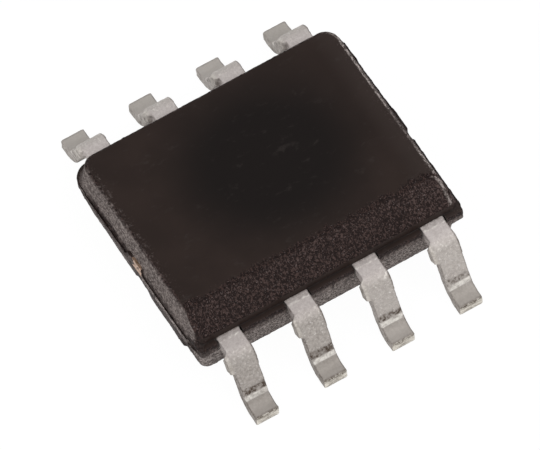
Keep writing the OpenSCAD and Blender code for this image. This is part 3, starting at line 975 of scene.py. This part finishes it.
def tin_material():
    """Matte tin plate: mottled grey, dirty at the heel, burnished below it with a painted
    highlight, bare where cut, with painted shade along its edges and painted light on the back row.
    """
    m = Nodes("tin_plate")
    dirt_and_shade, burnish_and_highlight, cut, on_shoulder = m.finish_and_light()
    patchy = m.spread(m.noise(26, 3, 0.65, 0.8), 0.38, 0.60, 0.45, 1.25)
    mottle = m.noise(24, 4, 0.65, 0.6)
    blotch = m.noise(3.2, 3, 0.55)
    tone = m.noise(0.5, 1, 0.4)
    sparkle = m.spread(m.noise(34, 3, 0.7, 0.5), 0.58, 0.68)
    foot = m.spread(m.along("Z"), 0.26, 0.46, 1.0, 0.0)
    grey = m.mix(m.spread(mottle, 0.36, 0.64), *TIN_MOTTLE)
    grey = m.mix(m.times(foot, 0.75), grey, TIN_FOOT)
    grey = m.mix(m.spread(blotch, 0.4, 0.7, 0.0, 0.25), grey, TIN_BLOTCH)
    grey = m.mix(m.spread(tone, 0.4, 0.6, 0.0, 0.30), grey, TIN_TONE)
    glint = m.times(sparkle, m.spread(foot, 0.0, 1.0, 0.75, 0.08))
    grey = m.mix(glint, grey, TIN_GLINT)
    shoulder = m.mix(m.spread(mottle, 0.36, 0.64), *TIN_SHOULDER)
    colour = m.mix(m.times(on_shoulder, 0.8), grey, shoulder)
    # The leads are darker towards the front left, and the back row has painted light
    front_left = m.times(m.spread(m.along("X"), 2.4, -2.4), m.spread(m.along("Y"), 1.5, -1.5))
    colour = m.mix(m.times(front_left, 0.16), colour, TIN_FRONT_LEFT)
    burrs = m.noise(20, 2, 0.5, 0.3, (0.5, 1.0, 1.6))
    bare = m.mix(m.spread(burrs, 0.4, 0.6), *TIN_CUT)
    colour = m.mix(cut, colour, bare)
    # Painted highlight on the burnished ridge
    shine = m.times(burnish_and_highlight, m.spread(mottle, 0.3, 0.6, 0.5, 0.95))
    colour = m.mix(shine, colour, TIN_SHINE)
    # Painted light on the back row
    colour = m.mix(m.spread(m.along("Y"), 1.6, 2.6, 0.0, 0.12), colour, TIN_BACK_ROW_LIGHT)
    # Dirt on the scuffed band, and painted shade along the edges and by the moulding
    colour = m.mix(m.math("MULTIPLY", dirt_and_shade, patchy, clamp=True), colour, TIN_DIRT_AND_SHADE)
    roughness = m.spread(burnish_and_highlight, 0.0, 1.0, 0.58, 0.42)
    fine = m.bump(mottle, 0.005, 0.3)
    normal = m.bump(m.noise(40, 2, 0.6), 0.002, 0.3, fine)
    return m.surface(colour, roughness, normal, metallic=0.35, specular=0.3)


def plain_metal(name, light, dark, roughness, per_mm):
    """Bare metal with fine drawn or etched variation."""
    m = Nodes(name)
    grain = m.noise(per_mm, 3, 0.6, 0.3)
    colour = m.mix(m.spread(grain, 0.35, 0.65), dark, light)
    rough = m.spread(grain, 0.3, 0.7, roughness - 0.08, roughness + 0.08)
    return m.surface(colour, rough, m.bump(grain, 0.003, 0.4), metallic=1.0)


def adhesive_material():
    """Silver-filled die-attach paste: pale grey with flakes."""
    m = Nodes("die_adhesive")
    flakes = m.cells(45)
    colour = m.mix(m.spread(flakes, 0.2, 0.6), (0.62, 0.62, 0.60), (0.40, 0.40, 0.39))
    roughness = m.spread(flakes, 0.0, 1.0, 0.45, 0.7)
    return m.surface(colour, roughness, m.bump(flakes, 0.004, 0.5))


def silicon_material():
    """Silicon die: blue-grey and glossy, with faint fields of circuitry."""
    m = Nodes("silicon")
    fields = m.cells(5)
    lines = m.noise(30, 2, 0.5, 0.0, (1.0, 0.08, 1.0))
    colour = m.mix(m.spread(fields, 0.1, 0.5), (0.10, 0.12, 0.17), (0.16, 0.15, 0.19))
    colour = m.mix(m.spread(lines, 0.45, 0.6, 0.0, 0.5), colour, (0.22, 0.20, 0.16))
    roughness = m.spread(lines, 0.3, 0.7, 0.15, 0.3)
    return m.surface(colour, roughness, m.bump(lines, 0.001, 0.3))


# How much of the floor is its own white, and how bright that is; the rest takes the shadow
FLOOR_SHARE = 0.94
FLOOR_LEVEL = 1.03


def floor_material():
    """White floor: the camera, metal and glass see it white, and it keeps the object's shadow."""
    material = bpy.data.materials.new("pale_floor")
    material.use_nodes = True
    tree = material.node_tree
    tree.nodes.remove(tree.nodes["Principled BSDF"])
    path = add_node(tree, "LightPath", {})
    seen = path.outputs["Is Camera Ray"]
    for other in ("Is Glossy Ray", "Is Transmission Ray"):
        seen = add_node(tree, "Math", {0: seen, 1: path.outputs[other]}, operation="MAXIMUM")
    share = add_node(tree, "Math", {0: seen, 1: FLOOR_SHARE}, operation="MULTIPLY")
    diffuse = add_node(tree, "BsdfDiffuse", {"Color": (0.93, 0.93, 0.93)})
    white = add_node(tree, "Emission", {"Strength": FLOOR_LEVEL})
    mixed = add_node(tree, "MixShader", {0: share, 1: diffuse, 2: white})
    put(tree, tree.nodes["Material Output"], {"Surface": mixed})
    return material


# -------------------------------- stage, as solved from the photo
CAMERA_AZIMUTH = math.radians(-25.65)
CAMERA_ELEVATION = math.radians(58.79)
CAMERA_ROLL = math.radians(-6.03)
CAMERA_DISTANCE = 239.3
CAMERA_LENS = 988.2
# How far the camera is moved to the right
CAMERA_TRUCK = -0.023
LAMP_DISTANCE = 120
LAMP_SIZE = 90
FLOOR_HALF = 600


def direction(azimuth, elevation):
    """Unit vector towards a place round the object: azimuth 0 is in front, and 90 to the right."""
    flat = math.cos(elevation)
    return Vector((math.sin(azimuth) * flat, -math.cos(azimuth) * flat, math.sin(elevation)))


def make_camera():
    """The photo's camera: far off, with a long lens, and rolled a little."""
    data = bpy.data.cameras.new("camera")
    data.lens = CAMERA_LENS
    data.sensor_width = 36
    data.clip_start, data.clip_end = 0.01, 2
    camera = add_object("camera", data)
    back = direction(CAMERA_AZIMUTH, CAMERA_ELEVATION)
    level = Vector((math.cos(CAMERA_AZIMUTH), math.sin(CAMERA_AZIMUTH), 0))
    right = Matrix.Rotation(CAMERA_ROLL, 3, back) @ level
    turn = Matrix((right, back.cross(right), back)).transposed().to_4x4()
    place = (back * CAMERA_DISTANCE + right * CAMERA_TRUCK) * MM
    camera.matrix_world = Matrix.Translation(place) @ turn
    bpy.context.scene.camera = camera


def make_lamp(name, azimuth, elevation, level):
    """Square softbox, as strong as makes a white floor facing it render at level."""
    data = bpy.data.lights.new(name, "AREA")
    data.shape = "SQUARE"
    data.size = LAMP_SIZE * MM
    data.energy = level * (math.pi * LAMP_DISTANCE * MM) ** 2
    lamp = add_object(name, data)
    away = direction(math.radians(azimuth), math.radians(elevation))
    lamp.location = away * LAMP_DISTANCE * MM
    lamp.rotation_mode = "QUATERNION"
    lamp.rotation_quaternion = away.to_track_quat("Z", "Y")


def make_world(level):
    """Soft light at level from all round, which the camera sees as white."""
    world = bpy.data.worlds.new("soft_world")
    bpy.context.scene.world = world
    world.use_nodes = True
    tree = world.node_tree
    fill = tree.nodes["Background"]
    put(tree, fill, {"Color": (1, 1, 1), "Strength": level})
    seen = add_node(tree, "Background", {"Color": (1, 1, 1), "Strength": 1})
    by_camera = add_node(tree, "LightPath", {}).outputs["Is Camera Ray"]
    mixed = add_node(tree, "MixShader", {0: by_camera, 1: fill, 2: seen})
    put(tree, tree.nodes["World Output"], {"Surface": mixed})


def make_floor():
    half = FLOOR_HALF * MM
    corners = [(-half, -half, 0), (half, -half, 0), (half, half, 0), (-half, half, 0)]
    mesh = bpy.data.meshes.new("floor")
    mesh.from_pydata(corners, [], [(0, 1, 2, 3)])
    mesh.materials.append(floor_material())
    floor = add_object("floor", mesh)


# -------------------------------- the object
def dress(piece, material, node):
    """A piece that stands for a CAD node, in its material."""
    piece.data.materials.clear()
    piece.data.materials.append(material)
    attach(piece, "root")
    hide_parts(node)


def repaint(node, material):
    """A CAD node that keeps its shape gets its material."""
    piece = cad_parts[node]
    if not piece.material_slots:
        piece.data.materials.append(material)
    for slot in piece.material_slots:
        slot.material = material


make_camera()
make_world(0.45)
make_lamp("key", 30, 60, 0.30)
make_lamp("left", -75, 45, 0.22)
make_floor()

dress(make_body(), compound_material(), "body")
tin = tin_material()
for number in LEADS:
    dress(make_lead(number), tin, f"lead_{number}")

gold = plain_metal("gold_wire", (0.95, 0.72, 0.32), (0.82, 0.58, 0.22), 0.28, 60)
copper = plain_metal("frame_copper", (0.66, 0.47, 0.37), (0.30, 0.19, 0.12), 0.50, 16)
repaint("die_paddle", copper)
repaint("die_attach", adhesive_material())
repaint("die", silicon_material())
for number in LEADS:
    repaint(f"bond_wire_{number}", gold)

bpy.context.scene.view_settings.view_transform = "Standard"
